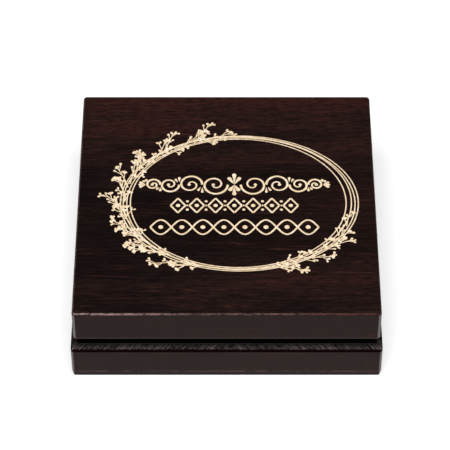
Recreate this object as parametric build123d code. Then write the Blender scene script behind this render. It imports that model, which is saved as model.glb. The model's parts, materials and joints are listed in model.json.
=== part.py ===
from build123d import *
import math
import os

# A small square presentation case of dark stained wood. The lid turns on two butt hinges at the back.
# Millimetres. The origin is on the table, under the middle of the base. +X is right, +Y is the back, +Z up.

# Lid shell
lid_width = 100.0
lid_depth = 100.0
lid_height = 12.3
lid_wall = 10.0
lid_panel = 3.6
lid_corner = 1.2
lid_top_edge = 0.85
lid_bottom_edge = 0.35

# Base shell. It stands out past the lid at the front and at both sides, and is flush with it at the back.
base_step = 1.0
base_height = 17.8
base_corner = 1.0
base_floor = 4.0
foot_bevel_height = 2.2
foot_bevel_inset = 0.45

# Gap between the closed lid and the base
seam = 0.2

# Finger groove under the lid, milled along the front and both sides of the base
groove_depth = 2.3
groove_lip_height = 13.35
groove_floor_rise = 0.85

# Hollow that lid and base share, inside the lid's walls
hollow_corner = 4.0

# Lid opening, stopped by the bevels along the back edges
opening_angle = 100.0
stop_spare_angle = 1.0

# Hinges
hinge_inset = 3.5
hinge_end_distance = 20.0
hinge_length = 20.0
knuckle_radius = 1.5
middle_knuckle_length = 7.2
knuckle_end_gap = 0.2
pin_radius = 0.6
pin_clearance = 0.05
pin_head_radius = 1.0
pin_head_length = 0.5
leaf_width = 6.0
leaf_thickness = 1.0
leaf_gap = 0.1
leaf_side_gap = 0.1
turning_clearance = 0.2

# Countersunk wood screws, two in each leaf
screw_spacing = 12.0
screw_radius = 0.8
screw_length = 6.0
screw_point_length = 1.4
screw_point_radius = 0.15
screw_head_radius = 1.4
screw_head_depth = 0.6
screw_slot_width = 0.35
screw_slot_depth = 0.3
screw_clearance = 0.02
screw_hole_clearance = 0.05
screw_hole_spare = 0.3

# Disc magnets in the front corners
magnet_radius = 2.5
magnet_thickness = 2.0
magnet_side_gap = 0.05
magnet_recess = 0.1

# Velour insert with a round seat for what the case presents
board_thickness = 1.0
insert_gap = 0.2
insert_height = 11.0
insert_edge = 0.8
seat_radius = 23.0
seat_depth = 6.0
seat_edge = 0.8
thumb_radius = 8.0
seat_pad_gap = 0.2

# Satin pad in the lid
lid_board_thickness = 0.8
lid_board_gap = 0.3
pad_gap = 0.4
pad_crown = 3.0
pad_side_thickness = 1.9
pad_drawn_in = 0.8
pad_edge = 0.5

# Places that follow from the sizes
hollow_width = lid_width - 2 * lid_wall
hollow_depth = lid_depth - 2 * lid_wall
base_width = lid_width + 2 * base_step
base_depth = lid_depth + base_step
lid_centre_y = base_step / 2
lid_bottom = base_height + seam
lid_top = lid_bottom + lid_height
back_y = base_depth / 2
front_y = -base_depth / 2
axis_y = back_y - hinge_inset
axis_z = base_height + seam / 2
stop_bevel_angle = (opening_angle + stop_spare_angle) / 2
stop_bevel_height = hinge_inset * math.tan(math.radians(stop_bevel_angle))
magnet_x = (hollow_width / 2 + base_width / 2 - groove_depth) / 2
magnet_y = (lid_centre_y - hollow_depth / 2 + front_y + groove_depth) / 2
magnet_places = {"left": -magnet_x, "right": magnet_x}
hinge_x = lid_width / 2 - hinge_end_distance
hinge_places = {"left": -hinge_x, "right": hinge_x}
screw_places = (-screw_spacing / 2, screw_spacing / 2)
screw_y = -(knuckle_radius + turning_clearance + leaf_width) / 2
leaf_face = leaf_gap / 2
turning_radius = knuckle_radius + turning_clearance
pin_end = hinge_length / 2 + pin_clearance + pin_head_length
insert_bottom = base_floor + board_thickness
insert_top = insert_bottom + insert_height
seat_floor = insert_top - seat_depth
lid_ceiling = lid_top - lid_panel
pad_back = lid_ceiling - lid_board_thickness


def box_between(low, high):
    size = [high[i] - low[i] for i in range(3)]
    middle = [(high[i] + low[i]) / 2 for i in range(3)]
    return Pos(*middle) * Box(*size)


def rod_along_x(radius, start, end):
    return Pos((start + end) / 2, 0, 0) * Rot(0, 90, 0) * Cylinder(radius, end - start)


def plan_block(width, depth, corner, bottom, top, centre_y=0):
    outline = Pos(0, centre_y, bottom) * RectangleRounded(width, depth, corner)
    return extrude(outline, amount=top - bottom)


def front_to_back_profile(points, half_width):
    # A closed outline of (y, z) points, carried from one side of the case to the other
    outline = Plane.YZ.offset(-half_width) * make_face(Polyline(*points, close=True))
    return extrude(outline, amount=2 * half_width)


def side_to_side_profile(points, half_depth):
    # A closed outline of (x, z) points, carried from the front of the case to the back
    outline = Plane.XZ.offset(-half_depth) * make_face(Polyline(*points, close=True))
    return extrude(outline, amount=2 * half_depth)


def at_hinge(piece, place):
    return Pos(place, axis_y, axis_z) * piece


# Solids that are cut from the wood


def hinge_mortise(up):
    # Room for one leaf, face to face with its back, and for the turning knuckles. up is 1 in the lid, -1 below.
    reach = hinge_length / 2 + leaf_side_gap
    leaf_back = up * (leaf_face + leaf_thickness)
    leaf_room = box_between(
        (-reach, -leaf_width - leaf_side_gap, min(leaf_back, 0)),
        (reach, 0, max(leaf_back, 0)),
    )
    room_end = pin_end + turning_clearance
    return leaf_room + rod_along_x(turning_radius, -room_end, room_end)


def screw_holes(up):
    depth = leaf_face + screw_length + screw_hole_spare
    hole = Cylinder(screw_radius + screw_clearance, depth)
    return [Pos(x, screw_y, up * depth / 2) * hole for x in screw_places]


def hinge_cuts(up):
    cuts = []
    for place in hinge_places.values():
        for cut in [hinge_mortise(up)] + screw_holes(up):
            cuts.append(at_hinge(cut, place))
    return cuts


def magnet_pockets(face_z, up):
    depth = magnet_recess + magnet_thickness
    pocket = Cylinder(magnet_radius + magnet_side_gap, depth)
    return [Pos(x, magnet_y, face_z + up * depth / 2) * pocket for x in magnet_places.values()]


# Wooden shells


def make_base_body():
    foot = loft([
        RectangleRounded(
            base_width - 2 * foot_bevel_inset,
            base_depth - 2 * foot_bevel_inset,
            base_corner - foot_bevel_inset,
        ),
        Pos(0, 0, foot_bevel_height) * RectangleRounded(base_width, base_depth, base_corner),
    ], ruled=True)
    body = foot + plan_block(base_width, base_depth, base_corner, foot_bevel_height, base_height)
    groove_top_of_lip = groove_lip_height + groove_floor_rise
    side = base_width / 2
    body &= side_to_side_profile([
        (-side, 0), (side, 0),
        (side, groove_lip_height), (side - groove_depth, groove_top_of_lip),
        (side - groove_depth, base_height), (groove_depth - side, base_height),
        (groove_depth - side, groove_top_of_lip), (-side, groove_lip_height),
    ], base_depth)
    body &= front_to_back_profile([
        (front_y, 0), (back_y, 0),
        (back_y, base_height - stop_bevel_height), (axis_y, base_height),
        (front_y + groove_depth, base_height), (front_y + groove_depth, groove_top_of_lip),
        (front_y, groove_lip_height),
    ], base_width)
    body -= plan_block(hollow_width, hollow_depth, hollow_corner, base_floor, lid_bottom, lid_centre_y)
    return body - hinge_cuts(-1) - magnet_pockets(base_height, -1)


def make_lid_body():
    body = plan_block(lid_width, lid_depth, lid_corner, lid_bottom, lid_top, lid_centre_y)
    body = fillet(body.faces().sort_by(Axis.Z)[-1].edges(), lid_top_edge)
    body = fillet(body.faces().sort_by(Axis.Z)[0].edges(), lid_bottom_edge)
    past_back = back_y + hinge_inset
    past_bevel = 2 * stop_bevel_height
    body -= front_to_back_profile([
        (axis_y, lid_bottom), (past_back, lid_bottom + past_bevel),
        (past_back, base_floor), (axis_y, base_floor),
    ], lid_width)
    body -= plan_block(hollow_width, hollow_depth, hollow_corner, base_height, lid_ceiling, lid_centre_y)
    return body - hinge_cuts(1) - magnet_pockets(lid_bottom, 1)


# Hinges, drawn with the pin's axis through the origin


def make_leaf(up):
    # The base leaf, up of -1, has the two outer knuckles. The lid leaf, up of 1, has the middle one.
    half = hinge_length / 2
    middle = middle_knuckle_length / 2
    outer_start = middle + knuckle_end_gap
    spans = {"middle": [(-middle, middle)], "outer": [(-half, -outer_start), (outer_start, half)]}
    room = {"middle": [(-outer_start, outer_start)], "outer": [(-half, -middle), (middle, half)]}
    own = "middle" if up > 0 else "outer"
    other = "outer" if up > 0 else "middle"
    faces = (up * leaf_face, up * (leaf_face + leaf_thickness))
    leaf = box_between((-half, -leaf_width, min(faces)), (half, 0, max(faces)))
    for start, end in room[other]:
        leaf -= rod_along_x(turning_radius, start, end)
    for start, end in spans[own]:
        leaf += rod_along_x(knuckle_radius, start, end)
    leaf -= rod_along_x(pin_radius + pin_clearance, -half, half)
    for x in screw_places:
        leaf -= Pos(x, screw_y, up * leaf_face) * screw_seat(up)
    return leaf


def screw_seat(up):
    # Through hole and countersink in a leaf, from its face towards the wood
    hole = Cylinder(screw_radius + screw_hole_clearance, 4 * leaf_thickness)
    cone = Cone(
        screw_radius + screw_hole_clearance,
        screw_head_radius + screw_hole_clearance,
        screw_head_depth,
        align=(Align.CENTER, Align.CENTER, Align.MAX),
    )
    return hole + (cone if up < 0 else Rot(180, 0, 0) * cone)


def make_screw(up):
    # The head's flat face is level with the leaf's face
    head = Cone(screw_radius, screw_head_radius, screw_head_depth, align=(Align.CENTER, Align.CENTER, Align.MAX))
    shank_length = screw_length - screw_head_depth - screw_point_length
    shank = Pos(0, 0, -screw_head_depth - shank_length / 2) * Cylinder(screw_radius, shank_length)
    point = Pos(0, 0, -screw_length) * Cone(
        screw_point_radius, screw_radius, screw_point_length, align=(Align.CENTER, Align.CENTER, Align.MIN)
    )
    slot = Box(3 * screw_head_radius, screw_slot_width, 2 * screw_slot_depth)
    screw = head + shank + point - slot
    return screw if up < 0 else Rot(180, 0, 0) * screw


def make_screws(up):
    return [Pos(x, screw_y, up * leaf_face) * make_screw(up) for x in screw_places]


def make_pin():
    pin = rod_along_x(pin_radius, -pin_end, pin_end)
    for side in (-1, 1):
        head_start = side * (pin_end - pin_head_length)
        head_end = side * pin_end
        pin += rod_along_x(pin_head_radius, min(head_start, head_end), max(head_start, head_end))
    return pin


# Soft insert in the base


def make_insert_board():
    return plan_block(
        hollow_width - 2 * insert_gap,
        hollow_depth - 2 * insert_gap,
        hollow_corner - insert_gap,
        base_floor,
        insert_bottom,
        lid_centre_y,
    )


def make_velour_insert():
    body = plan_block(
        hollow_width - 2 * insert_gap,
        hollow_depth - 2 * insert_gap,
        hollow_corner - insert_gap,
        insert_bottom,
        insert_top,
        lid_centre_y,
    )
    body = fillet(body.faces().sort_by(Axis.Z)[-1].edges(), insert_edge)
    body -= Pos(0, lid_centre_y, (insert_bottom + insert_top) / 2) * Cylinder(seat_radius, insert_height)
    thumb = Pos(0, lid_centre_y - seat_radius, (seat_floor + insert_top) / 2) * Cylinder(thumb_radius, seat_depth)
    body -= thumb
    rim = [
        edge for edge in body.faces().sort_by(Axis.Z)[-1].edges()
        if abs(edge.center().X) < seat_radius + thumb_radius
        and abs(edge.center().Y - lid_centre_y) < seat_radius + thumb_radius
    ]
    return fillet(rim, seat_edge)


def make_seat_pad():
    height = seat_floor - insert_bottom
    return Pos(0, lid_centre_y, insert_bottom + height / 2) * Cylinder(seat_radius - seat_pad_gap, height)


# Padded lining in the lid


def make_lid_board():
    return plan_block(
        hollow_width - 2 * lid_board_gap,
        hollow_depth - 2 * lid_board_gap,
        hollow_corner - lid_board_gap,
        pad_back,
        lid_ceiling,
        lid_centre_y,
    )


def make_satin_pad():
    # The sides draw in between the corners and the face swells towards the middle
    half_x = hollow_width / 2 - pad_gap
    half_y = hollow_depth / 2 - pad_gap
    sides = [
        ThreePointArc((-half_x, -half_y), (0, pad_drawn_in - half_y), (half_x, -half_y)),
        ThreePointArc((half_x, -half_y), (half_x - pad_drawn_in, 0), (half_x, half_y)),
        ThreePointArc((half_x, half_y), (0, half_y - pad_drawn_in), (-half_x, half_y)),
        ThreePointArc((-half_x, half_y), (pad_drawn_in - half_x, 0), (-half_x, -half_y)),
    ]
    block = extrude(make_face(sides), amount=-2 * pad_crown)
    block = fillet(block.edges().filter_by(Axis.Z), hollow_corner)
    side_drop = pad_crown - pad_side_thickness
    side_reach = half_x - pad_drawn_in
    crown_radius = (side_reach**2 + side_drop**2) / (2 * side_drop)
    pad = block & Pos(0, 0, crown_radius - pad_crown) * Sphere(crown_radius)
    face = pad.faces().sort_by(Axis.Z)[0]
    pad = fillet(face.edges(), pad_edge)
    return Pos(0, lid_centre_y, pad_back) * pad


def make_magnet(x, face_z, up):
    middle = face_z + up * (magnet_recess + magnet_thickness / 2)
    return Pos(x, magnet_y, middle) * Cylinder(magnet_radius, magnet_thickness)


def all_pieces():
    pieces = {
        "base_body": make_base_body(),
        "insert_board": make_insert_board(),
        "velour_insert": make_velour_insert(),
        "seat_pad": make_seat_pad(),
        "lid_body": make_lid_body(),
        "lid_board": make_lid_board(),
        "lid_satin_pad": make_satin_pad(),
    }
    for side, x in magnet_places.items():
        pieces[f"base_magnet_{side}"] = make_magnet(x, base_height, -1)
        pieces[f"lid_magnet_{side}"] = make_magnet(x, lid_bottom, 1)
    for side, place in hinge_places.items():
        pieces[f"hinge_{side}_base_leaf"] = at_hinge(make_leaf(-1), place)
        pieces[f"hinge_{side}_lid_leaf"] = at_hinge(make_leaf(1), place)
        pieces[f"hinge_{side}_pin"] = at_hinge(make_pin(), place)
        for shell, up in (("base", -1), ("lid", 1)):
            screws = [at_hinge(screw, place) for screw in make_screws(up)]
            pieces[f"hinge_{side}_{shell}_screws"] = Compound(screws)
    return pieces


os.makedirs("parts", exist_ok=True)
for name, piece in all_pieces().items():
    export_step(piece, f"parts/{name}.step")
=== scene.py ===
import json
import math
import random

import bmesh
import bpy
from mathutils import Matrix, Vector, noise
from mathutils.geometry import delaunay_2d_cdt


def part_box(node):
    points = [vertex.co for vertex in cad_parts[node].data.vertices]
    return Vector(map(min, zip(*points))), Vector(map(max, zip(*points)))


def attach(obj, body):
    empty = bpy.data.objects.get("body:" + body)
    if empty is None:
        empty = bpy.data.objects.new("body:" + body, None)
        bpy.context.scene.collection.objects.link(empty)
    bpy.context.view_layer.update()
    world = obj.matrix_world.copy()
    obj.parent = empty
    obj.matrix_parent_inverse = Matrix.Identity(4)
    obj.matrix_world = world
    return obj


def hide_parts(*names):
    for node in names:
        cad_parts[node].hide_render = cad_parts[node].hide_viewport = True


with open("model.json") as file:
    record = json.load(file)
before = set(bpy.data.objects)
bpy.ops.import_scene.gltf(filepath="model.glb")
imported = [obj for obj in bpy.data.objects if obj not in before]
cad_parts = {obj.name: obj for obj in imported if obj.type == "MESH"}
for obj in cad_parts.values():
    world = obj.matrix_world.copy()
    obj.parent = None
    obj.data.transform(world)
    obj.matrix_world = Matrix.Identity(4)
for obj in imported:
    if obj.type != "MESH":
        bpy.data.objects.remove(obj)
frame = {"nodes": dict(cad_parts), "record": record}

# Blender's own starting objects would count in the sizes
for spare in ("Cube", "Light", "Camera"):
    if spare in bpy.data.objects:
        bpy.data.objects.remove(bpy.data.objects[spare])
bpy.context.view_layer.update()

MM = 0.001
scene = bpy.context.scene
scene.view_settings.view_transform = "Standard"

# Places in the frame, in metres
BASE_LOW, BASE_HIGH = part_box("base_body")
LID_LOW, LID_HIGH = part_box("lid_body")
LID_TOP = LID_HIGH.z
LID_CENTRE = (LID_LOW + LID_HIGH) / 2

# The milled ledge under the lid: its lip, and where it meets the groove's wall
LEDGE_LOW = 13.35 * MM
LEDGE_HIGH = 14.20 * MM
GROOVE_DEPTH = 2.3 * MM
FOOT_BEVEL_TOP = 2.2 * MM


# Mesh tools


def mesh_of_node(node):
    """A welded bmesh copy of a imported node, with its flat faces whole."""
    bm = bmesh.new()
    bm.from_mesh(frame["nodes"][node].data)
    bmesh.ops.remove_doubles(bm, verts=bm.verts, dist=1e-7)
    bmesh.ops.dissolve_limit(bm, angle_limit=0.002, verts=bm.verts, edges=bm.edges)
    return bm


def set_true_normals(mesh, sharp_angle):
    """Shades rounded edges smoothly and keeps wide flat faces flat right up to them."""
    areas, planes, around = {}, [], {}
    for polygon in mesh.polygons:
        normal = polygon.normal
        offset = normal.dot(polygon.center) / MM
        plane = (round(normal.x, 3), round(normal.y, 3), round(normal.z, 3), round(offset, 1))
        planes.append(plane)
        areas[plane] = areas.get(plane, 0) + polygon.area
        for vertex in polygon.vertices:
            around.setdefault(vertex, []).append(polygon.index)
    weighted = [polygon.normal * areas[plane] for polygon, plane in zip(mesh.polygons, planes)]
    own_normals = [polygon.normal.copy() for polygon in mesh.polygons]
    limit = math.cos(math.radians(sharp_angle))
    normals = []
    for polygon in mesh.polygons:
        own = own_normals[polygon.index]
        for vertex in polygon.vertices:
            total = Vector()
            for other in around[vertex]:
                if own_normals[other].dot(own) >= limit:
                    total += weighted[other]
            normals.append(total.normalized())
    mesh.normals_split_custom_set(normals)


def object_from(bm, name, materials, sharp_angle=35, smooth=True):
    mesh = bpy.data.meshes.new(name)
    for face in bm.faces:
        face.smooth = smooth
    bm.to_mesh(mesh)
    bm.free()
    if smooth:
        set_true_normals(mesh, sharp_angle)
    for material in materials:
        mesh.materials.append(material)
    piece = bpy.data.objects.new(name, mesh)
    scene.collection.objects.link(piece)
    return piece


def split_edge_evenly(edge, step):
    """Puts vertices along an edge, about one step apart."""
    start, end = edge.verts
    count = max(1, round(edge.calc_length() / step))
    for left in range(count, 1, -1):
        _, vert = bmesh.utils.edge_split(edge, start, 1 / left)
        edge = next(other for other in vert.link_edges if other.other_vert(vert) is end)
        start = vert


def refill(bm, face, u_axis, v_axis, inner_points, areas=()):
    """Replaces one flat face by triangles that take in the given points and outlines.

    Points and outlines are (u, v) in millimetres. Gives back the new faces that lie inside an outline
    and the new vertices inside the old face.
    """
    loop = [loop.vert for loop in face.loops]
    normal = face.normal.copy()
    origin = loop[0].co - u_axis * loop[0].co.dot(u_axis) - v_axis * loop[0].co.dot(v_axis)
    points = [Vector((vert.co.dot(u_axis), vert.co.dot(v_axis))) / MM for vert in loop]
    points += [Vector(point) for point in inner_points]
    flip = normal.dot(u_axis.cross(v_axis)) < 0
    outlines = [list(range(len(loop)))]
    if flip:
        outlines[0].reverse()
    for area in areas:
        first = len(points)
        points += [Vector(point) for point in area]
        outlines.append(list(range(first, first + len(area))))
    filled = delaunay_2d_cdt(points, [], outlines, 1, 1e-5, True)
    out_points, out_faces, point_sources, face_sources = filled[0], filled[2], filled[3], filled[5]
    material = face.material_index
    bm.faces.remove(face)
    verts, new_verts = [], []
    for point, sources in zip(out_points, point_sources):
        on_edge = [source for source in sources if source < len(loop)]
        if on_edge:
            verts.append(loop[on_edge[0]])
        else:
            verts.append(bm.verts.new(origin + (u_axis * point.x + v_axis * point.y) * MM))
            new_verts.append(verts[-1])
    inside = []
    for corners, sources in zip(out_faces, face_sources):
        corners = [verts[index] for index in corners]
        if 0 not in sources or len(set(corners)) < 3:
            continue
        new_face = bm.faces.new(reversed(corners) if flip else corners)
        new_face.material_index = material
        if len(sources) > 1:
            inside.append(new_face)
    return inside, new_verts


def sink(bm, faces, depth, floor_index, wall_index):
    """Lowers a set of level faces and closes the step round them with walls."""
    cut = set(faces)
    rim = []
    for face in faces:
        for loop in face.loops:
            if sum(other in cut for other in loop.edge.link_faces) == 1:
                rim.append((loop.vert, loop.link_loop_next.vert))
    lowered = {}
    for face in faces:
        for vert in face.verts:
            if vert not in lowered:
                lowered[vert] = bm.verts.new(vert.co - Vector((0, 0, depth)))
    floors = [[lowered[vert] for vert in face.verts] for face in faces]
    bmesh.ops.delete(bm, geom=faces, context="FACES")
    for corners in floors:
        bm.faces.new(corners).material_index = floor_index
    for first, second in rim:
        bm.faces.new((first, second, lowered[second], lowered[first])).material_index = wall_index


# Engraved ornament, drawn in millimetres from the middle of the lid


def turned(vector, degrees):
    angle = math.radians(degrees)
    return Vector((
        vector.x * math.cos(angle) - vector.y * math.sin(angle),
        vector.x * math.sin(angle) + vector.y * math.cos(angle),
    ))


def direction(degrees):
    return turned(Vector((1, 0)), degrees)


def stroke(points, widths, closed=False):
    """Quads along a line whose width changes from point to point."""
    count = len(points)
    sides = []
    for index, point in enumerate(points):
        before = points[index - 1] if index or closed else point
        after = points[(index + 1) % count] if index + 1 < count or closed else point
        along = (after - before).normalized()
        across = Vector((-along.y, along.x)) * widths[index] / 2
        sides.append((point + across, point - across))
    last = count if closed else count - 1
    quads = []
    for index in range(last):
        left_a, right_a = sides[index]
        left_b, right_b = sides[(index + 1) % count]
        quads.append([right_a, right_b, left_b, left_a])
    return quads


def teardrop(root, heading, length, width, sides=9):
    """A bud: pointed at its root and round at its far end."""
    across = Vector((-heading.y, heading.x))
    radius = width / 2
    middle = root + heading * (length - radius)
    outline = [root]
    for index in range(sides):
        angle = math.radians(-115 + 230 * index / (sides - 1))
        outline.append(middle + heading * radius * math.cos(angle) + across * radius * math.sin(angle))
    return outline


def disc(centre, radius, sides=14):
    return [centre + direction(360 * index / sides) * radius for index in range(sides)]


def oval(centre, half_width, half_height, turn, count=160):
    points = []
    for index in range(count):
        angle = 2 * math.pi * index / count
        point = Vector((half_width * math.cos(angle), half_height * math.sin(angle)))
        points.append(centre + turned(point, turn))
    return points


RING_CENTRE = Vector((4.2, -0.5))
RING_HALF_WIDTH = 38.4
RING_HALF_HEIGHT = 30.1
RING_LINE = 0.42
# Shift of the centre, half width, half height and turn of each thin ring
RINGS = (
    (Vector((-0.3, 0.0)), 36.2, 29.4, 0.0),
    (Vector((0.0, 0.0)), 37.7, 30.0, 1.5),
    (Vector((0.0, 0.1)), 38.9, 30.4, -1.5),
    (Vector((0.1, 0.0)), 39.9, 30.9, 0.0),
)
STEM_LINE = 0.42
SHOOT_LINE = 0.32
STEM_STEPS = 10
SHOOT_LENGTH = (1.3, 2.6)
SHOOT_TURN = (30, 52)
SHOOT_BEND = 14
SHOOT_STEPS = 3
BUD_LENGTH = (1.15, 1.55)
BUD_WIDTH = (0.70, 0.98)
BUD_ROOT = 0.3
BUD_FAN = 76
# Where each cluster of the wreath starts and ends on the ring, in degrees, and how many sprigs it has
LEFT_OUTSIDE = (254, 108, 25)
LEFT_INSIDE = (250, 110, 9)
RIGHT_OUTSIDE = (283, 323, 7)
RIGHT_INSIDE = (290, 338, 5)
CLOCKWISE = -1
COUNTER_CLOCKWISE = 1
WREATH_SEED = 11


def ring_point(degrees):
    angle = math.radians(degrees)
    return RING_CENTRE + Vector((RING_HALF_WIDTH * math.cos(angle), RING_HALF_HEIGHT * math.sin(angle)))


def grown_line(start, heading, length, bend, steps):
    """Points along a stem that turns evenly by bend degrees over its length, and its last heading."""
    points = [start]
    for _ in range(steps):
        heading = turned(heading, bend / steps)
        points.append(points[-1] + heading * (length / steps))
    return points, heading


def bud_spray(rng, tip, heading, count):
    """Buds that fan out from the tip of a stem or shoot."""
    shapes = []
    for index in range(count):
        fan = 0 if count == 1 else BUD_FAN * index / (count - 1) - BUD_FAN / 2
        bud_heading = turned(heading, fan + rng.uniform(-9, 9))
        root = tip - bud_heading * BUD_ROOT
        length = rng.uniform(*BUD_LENGTH) + BUD_ROOT
        shapes.append(teardrop(root, bud_heading, length, rng.uniform(*BUD_WIDTH)))
    return shapes


def sprig(rng, degrees, way, lean, bend, length, shoots):
    """A stem with shoots and buds that leaves the ring clockwise or counter-clockwise.

    lean and bend are in degrees away from the ring, outward where they are positive.
    """
    root = ring_point(degrees)
    tangent = (ring_point(degrees + way) - root).normalized()
    outward = -way
    heading = turned(tangent, outward * lean)
    stem, last_heading = grown_line(root, heading, length, outward * bend, STEM_STEPS)
    thinner = (STEM_LINE - SHOOT_LINE) / STEM_STEPS
    shapes = stroke(stem, [STEM_LINE - thinner * index for index in range(STEM_STEPS + 1)])
    shapes += bud_spray(rng, stem[-1], last_heading, rng.choice((2, 3)))
    side = rng.choice((-1, 1))
    for index in range(shoots):
        place = STEM_STEPS * (0.25 + 0.65 * index / max(1, shoots - 1))
        low = int(place)
        start = stem[low].lerp(stem[low + 1], place - low)
        along = (stem[low + 1] - stem[low]).normalized()
        side = -side
        heading = turned(along, side * rng.uniform(*SHOOT_TURN))
        reach = rng.uniform(*SHOOT_LENGTH)
        shoot, tip_heading = grown_line(start, heading, reach, -side * SHOOT_BEND, SHOOT_STEPS)
        shapes += stroke(shoot, [SHOOT_LINE] * len(shoot))
        shapes += bud_spray(rng, shoot[-1], tip_heading, rng.choice((1, 2, 2, 3)))
    return shapes


def spread(first, last, count):
    """Even places from first to last, numbered."""
    return enumerate(first + (last - first) * index / (count - 1) for index in range(count))


def wreath():
    rng = random.Random(WREATH_SEED)
    shapes = []
    for shift, half_width, half_height, turn in RINGS:
        points = oval(RING_CENTRE + shift, half_width, half_height, turn)
        shapes += stroke(points, [RING_LINE] * len(points), closed=True)
    for index, place in spread(*LEFT_OUTSIDE):
        degrees = place + rng.uniform(-1.5, 1.5)
        lean = 5 + 26 * (index % 3) / 2 + rng.uniform(-3, 3)
        length = rng.uniform(7.5, 11.0)
        bend = rng.uniform(-6, 18)
        shapes += sprig(rng, degrees, CLOCKWISE, lean, bend, length, rng.choice((3, 4, 4, 5)))
    for _, place in spread(*LEFT_INSIDE):
        degrees = place + rng.uniform(-5, 5)
        lean = -rng.uniform(18, 36)
        shapes += sprig(rng, degrees, CLOCKWISE, lean, 8, rng.uniform(2.6, 4.4), 1)
    for index, place in spread(*RIGHT_OUTSIDE):
        degrees = place + rng.uniform(-1.5, 1.5)
        lean = 8 + 18 * (index % 2) + rng.uniform(-3, 3)
        bend = rng.uniform(-6, 10)
        length = rng.uniform(6.5, 9.0)
        shapes += sprig(rng, degrees, COUNTER_CLOCKWISE, lean, bend, length, rng.choice((3, 4)))
    for _, place in spread(*RIGHT_INSIDE):
        degrees = place + rng.uniform(-3, 3)
        lean = -rng.uniform(16, 32)
        shapes += sprig(rng, degrees, COUNTER_CLOCKWISE, lean, 6, rng.uniform(3.0, 5.0), 2)
    return shapes


PANEL_CENTRE = 2.6
UPPER_ROW = 7.4
MIDDLE_ROW = -2.2
LOWER_ROW = -12.0
PANEL_LINE = 0.64
SCROLL_RADII = (4.3, 3.9, 3.2, 2.4)
SCROLL_START = 2.2
CURL_DEGREES = 540
CURL_HOLD = 0.16
CURL_EYE = 0.14
CURL_STEPS = 40
LEAF_WIDTH = 0.95
END_LEAF_LENGTH = 2.6
END_LEAF_WIDTH = 1.0
# Heading in degrees and length of each leaf of the palmette in the middle
PALMETTE = ((90, 5.2), (60, 4.0), (120, 4.0), (270, 5.0), (240, 3.4), (300, 3.4))
PALMETTE_WIDTH = 1.45


def curl(centre, radius, side, up):
    """A curl that starts on the side towards the middle and winds in to a round eye."""
    points, widths = [], []
    for index in range(CURL_STEPS + 1):
        part = index / CURL_STEPS
        closing = max(0, part - CURL_HOLD) / (1 - CURL_HOLD)
        reach = radius * (1 - (1 - CURL_EYE) * closing)
        point = direction(180 - up * CURL_DEGREES * part) * reach
        points.append(centre + Vector((side * point.x, point.y)))
        widths.append(PANEL_LINE * (1.25 - 0.45 * part))
    return stroke(points, widths) + [disc(points[-1], PANEL_LINE * 0.9)]


def upper_scrollwork():
    """Running scrolls to both sides of a palmette."""
    shapes = []
    middle = Vector((PANEL_CENTRE, UPPER_ROW))
    for side in (-1, 1):
        reach = SCROLL_START
        for index, radius in enumerate(SCROLL_RADII):
            up = 1 if index % 2 else -1
            centre = middle + Vector((side * (reach + radius), 0))
            shapes += curl(centre, radius, side, up)
            reach += 2 * radius
            joint = middle + Vector((side * reach, 0))
            for lean, share in ((62, 0.5), (90, 0.62), (118, 0.5)):
                leaf = direction(lean)
                heading = Vector((leaf.x, up * leaf.y))
                shapes.append(teardrop(joint + heading * 1.1, heading, radius * share, LEAF_WIDTH))
        for lean in (-28, 0, 28):
            leaf = direction(lean)
            heading = Vector((side * leaf.x, leaf.y))
            shapes.append(teardrop(joint, heading, END_LEAF_LENGTH, END_LEAF_WIDTH))
    for lean, length in PALMETTE:
        shapes.append(teardrop(middle, direction(lean), length, PALMETTE_WIDTH))
    return shapes


LOZENGES = 7
LOZENGE_PITCH = 6.3
LOZENGE_HALF_WIDTH = 2.5
LOZENGE_HALF_HEIGHT = 3.3
LOZENGE_BEAD = 0.75
# Rise and radius of the beads between two lozenges
SMALL_BEADS = ((-1.9, 0.52), (0, 0.36), (1.9, 0.52))


def bead_and_lozenge_band():
    shapes = []
    for index in range(LOZENGES):
        centre = Vector((PANEL_CENTRE + (index - (LOZENGES - 1) / 2) * LOZENGE_PITCH, MIDDLE_ROW))
        across = Vector((LOZENGE_HALF_WIDTH, 0))
        rise = Vector((0, LOZENGE_HALF_HEIGHT))
        corners = [centre + across, centre + rise, centre - across, centre - rise]
        for corner, after in zip(corners, corners[1:] + corners[:1]):
            shapes += stroke([corner, after], [PANEL_LINE, PANEL_LINE])
        shapes.append(disc(centre, LOZENGE_BEAD))
        if index + 1 < LOZENGES:
            for bead_rise, radius in SMALL_BEADS:
                shapes.append(disc(centre + Vector((LOZENGE_PITCH / 2, bead_rise)), radius))
    return shapes


INTERLACE_LENGTH = 56
INTERLACE_HEIGHT = 3.2
INTERLACE_EYES = 8
INTERLACE_BEAD = 0.85
INTERLACE_STEPS = 160


def interlaced_band():
    shapes = []
    for phase in (0, math.pi):
        points = []
        for index in range(INTERLACE_STEPS + 1):
            part = index / INTERLACE_STEPS
            rise = INTERLACE_HEIGHT * math.sin(math.pi * INTERLACE_EYES * part + phase)
            points.append(Vector((PANEL_CENTRE + INTERLACE_LENGTH * (part - 0.5), LOWER_ROW + rise)))
        shapes += stroke(points, [PANEL_LINE] * len(points))
    for index in range(INTERLACE_EYES):
        part = (index + 0.5) / INTERLACE_EYES
        centre = Vector((PANEL_CENTRE + INTERLACE_LENGTH * (part - 0.5), LOWER_ROW))
        shapes.append(disc(centre, INTERLACE_BEAD))
    return shapes


def ornament_shapes():
    return wreath() + upper_scrollwork() + bead_and_lozenge_band() + interlaced_band()


# Materials


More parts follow.
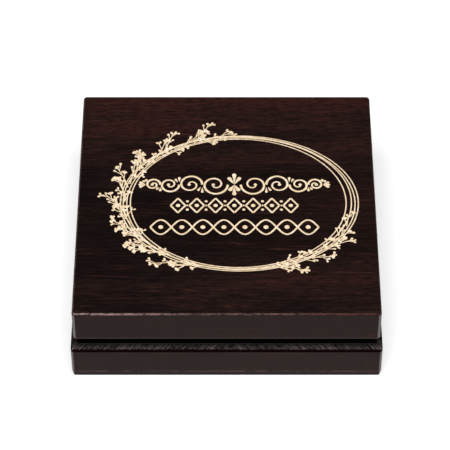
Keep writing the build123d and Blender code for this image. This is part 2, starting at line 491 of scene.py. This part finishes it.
class Shader:
    """A short way to write a node tree round one Principled surface."""

    def __init__(self, name):
        self.material = bpy.data.materials.new(name)
        self.material.use_nodes = True
        self.tree = self.material.node_tree
        self.surface = self.tree.nodes["Principled BSDF"]

    def link(self, value, socket):
        if isinstance(value, bpy.types.NodeSocket):
            self.tree.links.new(value, socket)
        elif hasattr(value, "__len__") and len(value) < len(socket.default_value):
            socket.default_value = (*value, 1)
        else:
            socket.default_value = value

    def node(self, kind, inputs=(), output=0, **settings):
        node = self.tree.nodes.new("ShaderNode" + kind)
        for name, value in settings.items():
            setattr(node, name, value)
        for name, value in dict(inputs).items():
            self.link(value, node.inputs[name])
        return node.outputs[output]

    def place(self, scale=(1, 1, 1)):
        """Where a point is on the piece, in millimetres times scale."""
        coordinates = self.node("TexCoord", output="Object")
        return self.node("Mapping", {"Vector": coordinates, "Scale": [factor / MM for factor in scale]})

    def axis(self, vector, index):
        return self.node("SeparateXYZ", {0: vector}, output=index)

    def axes(self, vector):
        return [self.axis(vector, index) for index in range(3)]

    def facing(self, index):
        """How far the surface faces along one axis of the piece, from -1 to 1."""
        return self.axis(self.node("TexCoord", output="Normal"), index)

    def noise(self, vector, detail=3, roughness=0.5, distortion=0):
        return self.node("TexNoise", {
            "Vector": vector,
            "Scale": 1,
            "Detail": detail,
            "Roughness": roughness,
            "Distortion": distortion,
        })

    def math(self, operation, a, b=0.5, c=0.5):
        return self.node("Math", {0: a, 1: b, 2: c}, operation=operation)

    def total(self, first, *others):
        for other in others:
            first = self.math("ADD", first, other)
        return first

    def product(self, first, *others):
        for other in others:
            first = self.math("MULTIPLY", first, other)
        return first

    def size_of(self, value):
        return self.math("ABSOLUTE", value)

    def remap(self, value, from_low, from_high, to_low=0, to_high=1):
        ends = {"From Min": from_low, "From Max": from_high, "To Min": to_low, "To Max": to_high}
        return self.node("MapRange", {"Value": value, **ends}, interpolation_type="SMOOTHSTEP")

    def band(self, value, low, high, soft):
        """1 between low and high, falling to 0 within soft outside them."""
        rise = self.remap(value, low - soft, low)
        fall = self.remap(value, high, high + soft, 1, 0)
        return self.product(rise, fall)

    def mix(self, factor, a, b):
        return self.node("MixRGB", {"Fac": factor, "Color1": a, "Color2": b})

    def bump(self, height, depth_mm):
        return self.node("Bump", {"Height": height, "Strength": 1.0, "Distance": depth_mm * MM})

    def finish(self, **inputs):
        for name, value in inputs.items():
            self.link(value, self.surface.inputs[name.replace("_", " ")])
        return self.material


# Stain, from deepest to thinnest; the two darkest tones also serve as painted shade, and the last is the
# dark red of the painted shade under the groove's lip
WOOD_PORE_AND_SHADE = (0.0036, 0.0020, 0.0018)
WOOD_DARK_AND_SHADE = (0.0068, 0.0032, 0.0031)
WOOD_MID = (0.0180, 0.0084, 0.0071)
WOOD_RED = (0.0360, 0.0112, 0.0088)
WOOD_VEIN = (0.0640, 0.0190, 0.0150)
UPRIGHT_WOOD = (0.0190, 0.0086, 0.0066)
LIP_SHADE_RED = (0.0060, 0.0010, 0.0010)
# Painted light: reflections on the vertical corners, highlights on the lid's lower edge, the foot line
# and edges facing down, and highlights over real wear on the arrises
CORNER_REFLECTION = (0.150, 0.134, 0.132)
LOWER_EDGE_HIGHLIGHT = (0.095, 0.066, 0.064)
FOOT_HIGHLIGHT = (0.120, 0.066, 0.060)
UNDER_EDGE_HIGHLIGHT = (0.200, 0.150, 0.145)
WORN_HIGHLIGHT_LEFT = (0.310, 0.200, 0.188)
WORN_HIGHLIGHT_MIDDLE = (0.115, 0.060, 0.050)
WORN_HIGHLIGHT_RIGHT = (0.078, 0.024, 0.019)
# The groove: painted shade in the cutter's marks and on its wall, painted highlight on the ridges
# between the marks
MARK_SHADE = (0.0012, 0.0004, 0.0004)
RIDGE_HIGHLIGHT = (0.270, 0.222, 0.214)
GROOVE_SHADE_DARK = (0.0003, 0.0002, 0.0002)
GROOVE_SHADE_LIGHT = (0.0008, 0.0004, 0.0004)

LID_SIDE = LID_HIGH.x / MM
WOOD_GLOSS = 0.07


def stain(shader, streaks, pores, upright):
    """Colour of the stained grain, with painted shade across the middle of level faces and a painted
    sheen towards the back, before any wearing or edge highlights.
    """
    across, depth, _ = shader.axes(shader.place())
    wide = shader.noise(shader.place((0.016, 0.09, 0.09)), 3)
    # Redder and lighter towards the right, the back edge and the front edge, and less red on upright
    # faces: thin stain, with a painted sheen towards the back
    bias = shader.total(
        shader.remap(across, -LID_SIDE, LID_SIDE, 0.014, 0.05),
        shader.remap(depth, 10, LID_SIDE, -0.03, 0.05),
        shader.remap(depth, -LID_SIDE, -15, 0.020, 0.0),
        shader.remap(upright, 0, 0.6, -0.085, 0.0),
    )
    redness = shader.math("MULTIPLY_ADD", streaks, 0.55, shader.math("MULTIPLY_ADD", wide, 0.45, bias))
    colour = shader.mix(shader.remap(redness, 0.40, 0.56), WOOD_DARK_AND_SHADE, WOOD_MID)
    colour = shader.mix(shader.remap(redness, 0.52, 0.66), colour, WOOD_RED)
    colour = shader.mix(shader.remap(pores, 0.48, 0.61, 0, 0.85), colour, WOOD_PORE_AND_SHADE)
    # A few long thin veins show redder
    veins = shader.noise(shader.place((0.022, 0.50, 0.50)), 2, 0.5, 0.6)
    in_vein = shader.band(veins, 0.610, 0.618, 0.010)
    in_vein = shader.product(in_vein, shader.remap(streaks, 0.35, 0.60, 0.15, 0.8))
    colour = shader.mix(in_vein, colour, WOOD_VEIN)
    # Upright faces took the stain more evenly; level faces get painted shade across the middle, darkest
    # a little in front of the centre
    colour = shader.mix(shader.remap(upright, 0, 0.6, 0.6, 0.0), colour, UPRIGHT_WOOD)
    from_middle = shader.size_of(shader.total(depth, 8.0))
    middle_shade = shader.product(shader.remap(from_middle, 6, 46, 0.40, 0.0), shader.remap(upright, 0.3, 0.7))
    return shader.mix(middle_shade, colour, WOOD_PORE_AND_SHADE)


def painted_corner_light(shader, colour, upright):
    """Painted reflections on the vertical corners and a painted highlight along the lid's lower edge,
    both lighter than the stain.
    """
    _, _, height = shader.axes(shader.place())
    corner_reflection_mask = shader.band(shader.size_of(shader.facing(0)), 0.32, 0.82, 0.16)
    corner_reflection_mask = shader.product(corner_reflection_mask, shader.remap(upright, 0.05, 0.25, 1.0, 0.0))
    colour = shader.mix(corner_reflection_mask, colour, CORNER_REFLECTION)
    lid_foot = LID_LOW.z / MM
    lower_edge_highlight_mask = shader.band(height, lid_foot + 0.12, lid_foot + 0.42, 0.12)
    lower_edge_highlight_mask = shader.product(lower_edge_highlight_mask, shader.remap(upright, 0.3, 0.7, 0.85, 0.0))
    return shader.mix(lower_edge_highlight_mask, colour, LOWER_EDGE_HIGHLIGHT)


def worn_and_highlit_edges(shader, colour, patches):
    """Worn arrises that also carry a painted highlight, whiter at the left and redder at the right,
    mostly at the lid's front; edges facing down take a lighter painted highlight.
    """
    across, _, _ = shader.axes(shader.place())
    worn_highlight_colour = shader.mix(shader.remap(across, -48, -5), WORN_HIGHLIGHT_LEFT, WORN_HIGHLIGHT_MIDDLE)
    worn_highlight_colour = shader.mix(shader.remap(across, 5, 46), worn_highlight_colour, WORN_HIGHLIGHT_RIGHT)
    worn_highlight_colour = shader.mix(shader.remap(shader.facing(2), -0.3, -0.1, 1, 0), worn_highlight_colour, UNDER_EDGE_HIGHLIGHT)
    # Only rounded edges take the wearing and the painted highlight: flat faces and the foot bevel lie
    # outside this range of slopes
    slope = shader.size_of(shader.facing(2))
    wear_and_highlight = shader.product(
        shader.remap(slope, 0.32, 0.50),
        shader.remap(slope, 0.90, 0.97, 1, 0),
        shader.remap(shader.facing(1), -0.5, -0.1, 1.0, 0.25),
        shader.remap(patches, 0.40, 0.58, 0.06, 1.0),
    )
    return shader.mix(wear_and_highlight, colour, worn_highlight_colour)


def stained_wood():
    # Stained wood with painted light on it: highlights on corners and edges, shade across the top's
    # middle, on the foot bevel and under the groove's lip
    shader = Shader("stained_wood_and_painted_light")
    _, _, height = shader.axes(shader.place())
    upright = shader.size_of(shader.facing(2))
    streaks = shader.noise(shader.place((0.10, 1.25, 1.25)), 5, 0.7, 0.4)
    pores = shader.noise(shader.place((0.34, 2.6, 2.6)), 4, 0.72)
    patches = shader.noise(shader.place((0.42, 1.1, 1.6)), 5, 0.75)
    colour = stain(shader, streaks, pores, upright)
    colour = painted_corner_light(shader, colour, upright)
    colour = worn_and_highlit_edges(shader, colour, patches)
    # Painted shade darkens the foot bevel, and a painted highlight line, broken into patches, runs just
    # above it
    foot = FOOT_BEVEL_TOP / MM
    colour = shader.mix(shader.remap(height, 0.2 * foot, foot, 0.65, 0.0), colour, WOOD_DARK_AND_SHADE)
    foot_highlight_line = shader.band(height, foot + 0.16, foot + 0.50, 0.12)
    foot_highlight_line = shader.product(foot_highlight_line, shader.remap(patches, 0.40, 0.60, 0.0, 0.8))
    colour = shader.mix(foot_highlight_line, colour, FOOT_HIGHLIGHT)
    # Painted shade: a dark red line under the lip of the groove, with its gloss taken off
    lip = LEDGE_LOW / MM
    lip_shade_line = shader.band(height, lip - 1.00, lip, 0.12)
    colour = shader.mix(shader.product(lip_shade_line, 0.9), colour, LIP_SHADE_RED)
    return shader.finish(
        Base_Color=colour,
        Roughness=shader.remap(streaks, 0.3, 0.7, 0.36, 0.48),
        Specular_IOR_Level=shader.math("MULTIPLY_ADD", lip_shade_line, -WOOD_GLOSS, WOOD_GLOSS),
        Normal=shader.bump(shader.math("MULTIPLY_ADD", pores, -0.6, streaks), 0.014),
    )


def milled_wood():
    """Bare ledge of the groove, with painted shade in the cutter's marks and a painted highlight on the
    ridges between them.
    """
    shader = Shader("milled_wood_painted_light")
    low, high = LEDGE_LOW / MM, LEDGE_HIGH / MM
    _, _, level = shader.axes(shader.place())
    grain = shader.noise(shader.place((0.8, 2.4, 2.4)), 4, 0.65)
    depth = shader.node("Attribute", output=2, attribute_name=MARK_DEPTH)
    # The painted highlight on the ridges gives way to painted shade towards the groove's wall under the
    # lid, at the lip and on the side ledges
    ridge_highlight = shader.product(
        shader.remap(depth, 0.18, 0.55, 1, 0),
        shader.remap(grain, 0.35, 0.62, 0.5, 1),
        shader.remap(level, low, high, 1.0, 0.12),
        shader.remap(level, low + 0.06, low + 0.14),
        shader.remap(shader.size_of(shader.facing(0)), 0.12, 0.28, 1.0, 0.22),
    )
    return shader.finish(
        Base_Color=shader.mix(ridge_highlight, MARK_SHADE, RIDGE_HIGHLIGHT),
        Roughness=0.6,
        Specular_IOR_Level=0.06,
        Normal=shader.bump(grain, 0.02),
    )


def groove_painted_shade():
    """Wall of the groove, painted almost black as shade under the lid."""
    shader = Shader("groove_wall_painted_shade")
    grain = shader.noise(shader.place((0.3, 2.4, 2.4)), 4, 0.65)
    return shader.finish(
        Base_Color=shader.mix(shader.remap(grain, 0.4, 0.65), GROOVE_SHADE_DARK, GROOVE_SHADE_LIGHT),
        Roughness=0.7,
        Specular_IOR_Level=0.01,
        Normal=shader.bump(grain, 0.02),
    )


def cut_wood(name, colour):
    shader = Shader(name)
    grain = shader.noise(shader.place((0.35, 2.6, 2.6)), 3, 0.6)
    darker = [channel * 0.84 for channel in colour]
    tone = shader.mix(shader.remap(grain, 0.35, 0.68), colour, darker)
    glints = shader.noise(shader.place((0.7, 0.7, 0.7)), 2)
    tone = shader.mix(shader.remap(glints, 0.45, 0.70), tone, [channel**0.55 for channel in colour])
    return shader.finish(
        Base_Color=tone,
        Roughness=0.7,
        Specular_IOR_Level=0.2,
        Normal=shader.bump(grain, 0.02),
    )


def metal(name, colour, roughness):
    shader = Shader(name)
    scratches = shader.noise(shader.place((6.0, 1.1, 1.1)), 4, 0.6)
    tone = shader.mix(shader.remap(scratches, 0.35, 0.7), colour, [channel * 0.82 for channel in colour])
    return shader.finish(
        Base_Color=tone,
        Metallic=1.0,
        Roughness=shader.remap(scratches, 0.3, 0.7, roughness, roughness + 0.14),
        Normal=shader.bump(scratches, 0.004),
    )


def velour_fabric():
    shader = Shader("velour_finish")
    pile = shader.noise(shader.place((3.2, 3.2, 3.2)), 3, 0.6)
    brushed = shader.noise(shader.place((0.10, 0.16, 0.16)), 3, 0.55, 0.6)
    colour = shader.mix(shader.remap(brushed, 0.35, 0.68), (0.66, 0.56, 0.42), (0.78, 0.69, 0.55))
    colour = shader.mix(shader.remap(pile, 0.45, 0.72, 0, 0.55), colour, (0.50, 0.40, 0.28))
    return shader.finish(
        Base_Color=colour,
        Roughness=0.92,
        Specular_IOR_Level=0.15,
        Sheen_Weight=0.55,
        Sheen_Roughness=0.45,
        Sheen_Tint=(1.0, 0.93, 0.82),
        Normal=shader.bump(pile, 0.10),
    )


def satin_fabric():
    shader = Shader("satin_finish")
    threads = shader.node("TexWave", {
        "Vector": shader.place((0, 1, 0)),
        "Scale": 3.2,
        "Distortion": 0.4,
        "Detail": 2,
    }, output=1, bands_direction="Y")
    slubs = shader.noise(shader.place((0.25, 2.4, 2.4)), 3, 0.6)
    colour = shader.mix(shader.remap(slubs, 0.4, 0.7), (0.84, 0.77, 0.64), (0.78, 0.70, 0.56))
    weave = shader.math("MULTIPLY_ADD", slubs, 0.5, threads)
    return shader.finish(
        Base_Color=colour,
        Roughness=shader.remap(slubs, 0.3, 0.7, 0.30, 0.40),
        Specular_IOR_Level=0.6,
        Anisotropic=0.5,
        Sheen_Weight=0.25,
        Sheen_Roughness=0.3,
        Normal=shader.bump(weave, 0.012),
    )


def grey_card():
    shader = Shader("grey_board_finish")
    fibres = shader.noise(shader.place((1.2, 1.2, 1.2)), 5, 0.7)
    colour = shader.mix(shader.remap(fibres, 0.38, 0.66), (0.33, 0.31, 0.28), (0.44, 0.42, 0.38))
    return shader.finish(
        Base_Color=colour,
        Roughness=0.93,
        Specular_IOR_Level=0.2,
        Normal=shader.bump(fibres, 0.04),
    )


MARK_DEPTH = "mark_depth"
wood = stained_wood()
milled = milled_wood()
groove = groove_painted_shade()
cut_floor = cut_wood("engraved_floor", (0.88, 0.70, 0.46))
cut_wall = cut_wood("engraved_wall", (0.52, 0.33, 0.18))
velour = velour_fabric()
satin = satin_fabric()
NODE_MATERIALS = {
    "stained_wood": wood,
    "brass": metal("brass_finish", (0.78, 0.57, 0.27), 0.24),
    "screw_brass": metal("screw_brass_finish", (0.70, 0.50, 0.24), 0.30),
    "nickel": metal("nickel_finish", (0.62, 0.61, 0.58), 0.18),
    "velour": velour,
    "satin": satin,
    "grey_board": grey_card(),
}


# Lid

ENGRAVING_DEPTH = 0.10 * MM


def engraved_lid():
    bm = mesh_of_node("lid_body")
    tops = [face for face in bm.faces if face.calc_center_median().z > LID_TOP - 0.01 * MM]
    top = max(tops, key=lambda face: face.calc_area())
    middle = Vector((LID_CENTRE.x, LID_CENTRE.y)) / MM
    areas = [[point + middle for point in shape] for shape in ornament_shapes()]
    cut, _ = refill(bm, top, Vector((1, 0, 0)), Vector((0, 1, 0)), [], areas)
    sink(bm, cut, ENGRAVING_DEPTH, 1, 2)
    return object_from(bm, "engraved_lid", [wood, cut_floor, cut_wall])


# Base, with the cutter's marks on the ledge of its groove

RIDGE_PITCH = 0.76
RIDGE_LEAN = 0.95
RIDGE_DEPTH = 0.16 * MM
MARK_WIDTH = (0.19, 0.28)
MARK_STRENGTH = (0.75, 1.0)
LEDGE_STEP = 0.16
LEDGE_MARGIN = 0.07
LEDGE_TAPER = 0.25
LEDGE_UNEVEN = 0.30
LEDGE_SEED = 5


def inside_by(point, corners):
    """How far inside a convex outline a point is. The outline runs counter-clockwise."""
    least = 1e9
    for corner, after in zip(corners, corners[1:] + corners[:1]):
        along = (after - corner).normalized()
        least = min(least, along.cross(point - corner))
    return least


def cutter_marks(rng, length):
    """Marks along a ledge, as (place, width, depth)."""
    marks, place = [], -length / 2
    while place < length / 2:
        marks.append((place, rng.uniform(*MARK_WIDTH), rng.uniform(*MARK_STRENGTH)))
        place += RIDGE_PITCH * rng.uniform(0.82, 1.2)
    return marks


def mark_depth(marks, place):
    """How deep the marks near a place have cut there, from 0 to 1."""
    return max(depth * math.exp(-(((place - at) / width) ** 2)) for at, width, depth in marks)


def ridged_ledge(bm, face, rng, mirrored, depth_layer):
    """Meshes a ledge finely and presses the cutter's slanting marks into it."""
    normal = face.normal.copy()
    u_axis = normal.cross(Vector((0, 0, 1))).normalized()
    v_axis = normal.cross(u_axis)
    corners = [Vector((loop.vert.co.dot(u_axis), loop.vert.co.dot(v_axis))) / MM for loop in face.loops]
    lows = [min(corner[axis] for corner in corners) for axis in (0, 1)]
    highs = [max(corner[axis] for corner in corners) for axis in (0, 1)]
    middle = (lows[0] + highs[0]) / 2
    points = []
    rows = int((highs[1] - lows[1]) / LEDGE_STEP)
    columns = int((highs[0] - lows[0]) / LEDGE_STEP)
    for row in range(rows + 1):
        for column in range(columns + 1):
            u = lows[0] + (column + (row % 2) / 2) * LEDGE_STEP
            point = Vector((u, lows[1] + row * LEDGE_STEP))
            if inside_by(point, corners) > LEDGE_MARGIN:
                points.append(point)
    long_edges = [edge for edge in face.edges if edge.calc_length() > 1 * MM]
    for edge in long_edges:
        split_edge_evenly(edge, 2 * LEDGE_STEP * MM)
    face.material_index = 1
    _, new_verts = refill(bm, face, u_axis, v_axis, points)
    marks = cutter_marks(rng, highs[0] - lows[0] + 4)
    by_cell = {}
    for mark in marks:
        for cell in range(int(mark[0] // 1) - 1, int(mark[0] // 1) + 3):
            by_cell.setdefault(cell, []).append(mark)
    for vert in new_verts:
        u, v = vert.co.dot(u_axis) / MM, vert.co.dot(v_axis) / MM
        along = u - middle
        if mirrored:
            along = -abs(along)
        along += RIDGE_LEAN * (v - lows[1])
        near = by_cell.get(int(along // 1), ())
        depth = mark_depth(near, along) if near else 0
        depth += LEDGE_UNEVEN * noise.noise(Vector((u * 1.3, v * 2.0, 0.5)))
        taper = min(1, max(0, inside_by(Vector((u, v)), corners) / LEDGE_TAPER))
        vert.co -= normal * depth * taper * RIDGE_DEPTH
        vert[depth_layer] = depth


def marked_base():
    bm = mesh_of_node("base_body")
    ledges = []
    for face in bm.faces:
        level = face.calc_center_median().z
        if LEDGE_LOW < level < LEDGE_HIGH and face.normal.z > 0.8 and face.calc_area() > 50 * MM * MM:
            ledges.append(face)
    # Upright faces inside the groove take the near-black painted-shade material
    groove_front = BASE_LOW.y + GROOVE_DEPTH
    groove_side = BASE_HIGH.x - GROOVE_DEPTH
    for face in bm.faces:
        middle = face.calc_center_median()
        upright = abs(face.normal.z) < 0.1 and LEDGE_HIGH < middle.z < BASE_HIGH.z
        in_groove = middle.y < groove_front + 1.5 * MM or abs(middle.x) > groove_side - 1.5 * MM
        if upright and in_groove and middle.y < BASE_HIGH.y - 0.1 * MM:
            face.material_index = 2
    rng = random.Random(LEDGE_SEED)
    depth_layer = bm.verts.layers.float.new(MARK_DEPTH)
    for face in ledges:
        ridged_ledge(bm, face, rng, abs(face.normal.x) < 0.1, depth_layer)
    return object_from(bm, "marked_base", [wood, milled, groove])


def place_piece(piece, body, node):
    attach(piece, body)
    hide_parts(node)


place_piece(engraved_lid(), "lid", "lid_body")
place_piece(marked_base(), "case", "base_body")


# Soft inside


def soft_copy(node, name, material, voxel):
    """A finely meshed copy of a soft solid, ready to be shaped."""
    bm = mesh_of_node(node)
    mesh = bpy.data.meshes.new(name)
    bm.to_mesh(mesh)
    bm.free()
    mesh.materials.append(material)
    piece = bpy.data.objects.new(name, mesh)
    scene.collection.objects.link(piece)
    remesh = piece.modifiers.new("remesh", "REMESH")
    remesh.mode = "VOXEL"
    remesh.voxel_size = voxel
    apply_modifiers(piece)
    return piece


def apply_modifiers(piece):
    """Keeps the piece as its modifiers show it, in its own mesh."""
    graph = bpy.context.evaluated_depsgraph_get()
    shaped = bpy.data.meshes.new_from_object(piece.evaluated_get(graph))
    piece.modifiers.clear()
    piece.data = shaped
    for polygon in shaped.polygons:
        polygon.use_smooth = True


def swollen(piece, low, high, bulge, up):
    """Lifts the outer side of a padded piece into a soft crown that fades out at its edges."""
    centre = (low + high) / 2
    half = (high - low) / 2
    for vertex in piece.data.vertices:
        x = (vertex.co.x - centre.x) / half.x
        y = (vertex.co.y - centre.y) / half.y
        level = (vertex.co.z - low.z) / (high.z - low.z)
        if up < 0:
            level = 1 - level
        fade = max(0, 1 - x**4) * max(0, 1 - y**4)
        uneven = 0.8 + 0.4 * noise.noise(Vector((x * 2.1, y * 2.1, 0.3)))
        vertex.co.z += up * bulge * fade * max(0, level) ** 2 * uneven


def velour_piece(node, name, voxel, rounds, crown):
    """A velour-covered piece with softened edges and a slight crown."""
    low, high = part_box(node)
    piece = soft_copy(node, name, velour, voxel)
    soften = piece.modifiers.new("soften", "SMOOTH")
    soften.factor = 0.5
    soften.iterations = rounds
    apply_modifiers(piece)
    swollen(piece, low, high, crown, 1)
    return piece


SATIN_VOXEL = 1.1 * MM
SATIN_SWELL = 1.6 * MM
SATIN_CAP = 0.9 * MM
GLUED_BAND = 0.9 * MM
SIMULATION_SCALE = 10
SIMULATION_FRAMES = 20


def filled_by_cloth(piece, low, high):
    """Fills a piece like a cushion by a cloth simulation at ten times its size, within its space."""
    start = [vertex.co.copy() for vertex in piece.data.vertices]
    centre = (low + high) / 2
    pinned = piece.vertex_groups.new(name="glued_to_card")
    glued = [vertex.index for vertex in piece.data.vertices if vertex.co.z > high.z - GLUED_BAND]
    pinned.add(glued, 1.0, "REPLACE")
    for vertex in piece.data.vertices:
        vertex.co = (vertex.co - centre) * SIMULATION_SCALE
    cloth = piece.modifiers.new("cloth", "CLOTH")
    cloth.settings.use_pressure = True
    cloth.settings.uniform_pressure_force = 4
    cloth.settings.vertex_group_mass = pinned.name
    cloth.settings.shrink_min = -0.05
    cloth.settings.bending_stiffness = 0.4
    cloth.settings.quality = 6
    cloth.settings.effector_weights.gravity = 0
    cloth.collision_settings.use_self_collision = False
    for number in range(1, SIMULATION_FRAMES + 1):
        scene.frame_set(number)
    apply_modifiers(piece)
    scene.frame_set(1)
    for vertex, before in zip(piece.data.vertices, start):
        moved = vertex.co / SIMULATION_SCALE + centre - before
        if moved.length > SATIN_CAP:
            moved *= SATIN_CAP / moved.length
        vertex.co = before + moved
        vertex.co.x = min(max(vertex.co.x, low.x), high.x)
        vertex.co.y = min(max(vertex.co.y, low.y), high.y)
        vertex.co.z = min(vertex.co.z, high.z)


def satin_piece():
    """The lid's satin padding. Its crown hangs down from the card that it is glued to."""
    low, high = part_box("lid_satin_pad")
    piece = soft_copy("lid_satin_pad", "satin_cushion", satin, SATIN_VOXEL)
    swollen(piece, low, high, SATIN_SWELL, -1)
    filled_by_cloth(piece, low, high)
    finer = piece.modifiers.new("finer", "SUBSURF")
    finer.levels = 1
    finer.render_levels = 1
    apply_modifiers(piece)
    return piece


def place_pad(piece, body, node):
    place_piece(piece, body, node)


insert = velour_piece("velour_insert", "velour_cushion", voxel=0.8 * MM, rounds=6, crown=0.7 * MM)
place_pad(insert, "case", "velour_insert")
seat = velour_piece("seat_pad", "velour_seat", voxel=0.7 * MM, rounds=5, crown=0.5 * MM)
place_pad(seat, "case", "seat_pad")
place_pad(satin_piece(), "lid", "lid_satin_pad")

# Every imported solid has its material, also where a piece of this script replaces it
for part in frame["record"]["subparts"]:
    node = frame["nodes"][part["node"]]
    node.material_slots[0].material = NODE_MATERIALS[part["material_slot"]]


# Floor, light and camera

FLOOR_WHITE = 0.88
FLOOR_GLOW = 0.30
FLOOR_SIZE = 3.0
FLOOR_GAP = 0.02 * MM
WORLD_STRENGTH = 0.12


def floor_material():
    """White paper that keeps its shadow and looks clean white to the camera and in reflections."""
    shader = Shader("white_floor")
    seen = shader.node("LightPath", output="Is Camera Ray")
    for ray in ("Is Glossy Ray", "Is Transmission Ray"):
        seen = shader.total(seen, shader.node("LightPath", output=ray))
    return shader.finish(
        Base_Color=(FLOOR_WHITE, FLOOR_WHITE, FLOOR_WHITE),
        Roughness=0.9,
        Specular_IOR_Level=0.0,
        Emission_Color=(1, 1, 1),
        Emission_Strength=shader.product(seen, FLOOR_GLOW),
    )


def make_floor():
    bm = bmesh.new()
    bmesh.ops.create_grid(bm, x_segments=1, y_segments=1, size=FLOOR_SIZE)
    floor = object_from(bm, "floor", [floor_material()], smooth=False)
    floor.location.z = BASE_LOW.z - FLOOR_GAP


def softbox(name, place, aim, size, power):
    data = bpy.data.lights.new(name, "AREA")
    data.shape = "RECTANGLE"
    data.size, data.size_y = size
    data.energy = power
    lamp = bpy.data.objects.new(name, data)
    lamp.location = place
    lamp.rotation_euler = (Vector(aim) - Vector(place)).to_track_quat("-Z", "Y").to_euler()
    scene.collection.objects.link(lamp)


make_floor()
softbox("overhead", (0.0, -0.30, 1.0), (0, 0, 0), (1.1, 0.8), 12.5)
softbox("front", (-0.25, -1.15, 0.75), (0, 0, 0.02), (1.0, 0.7), 4.2)

world = bpy.data.worlds.new("studio")
scene.world = world
world.use_nodes = True
background = world.node_tree.nodes["Background"]
background.inputs["Color"].default_value = (1, 1, 1, 1)
background.inputs["Strength"].default_value = WORLD_STRENGTH

# The photograph's view, from the middle of the lid's top
VIEW_DOWN = 47.648
VIEW_FROM = Vector((-0.54, -537.30, 577.25)) * MM
LENS = 187.87

camera_data = bpy.data.cameras.new("camera")
camera_data.sensor_width = 36
camera_data.lens = LENS
camera = bpy.data.objects.new("camera", camera_data)
camera.location = Vector((LID_CENTRE.x, LID_CENTRE.y, LID_TOP)) + VIEW_FROM
camera.rotation_euler = (math.radians(90 - VIEW_DOWN), 0, 0)
scene.collection.objects.link(camera)
scene.camera = camera
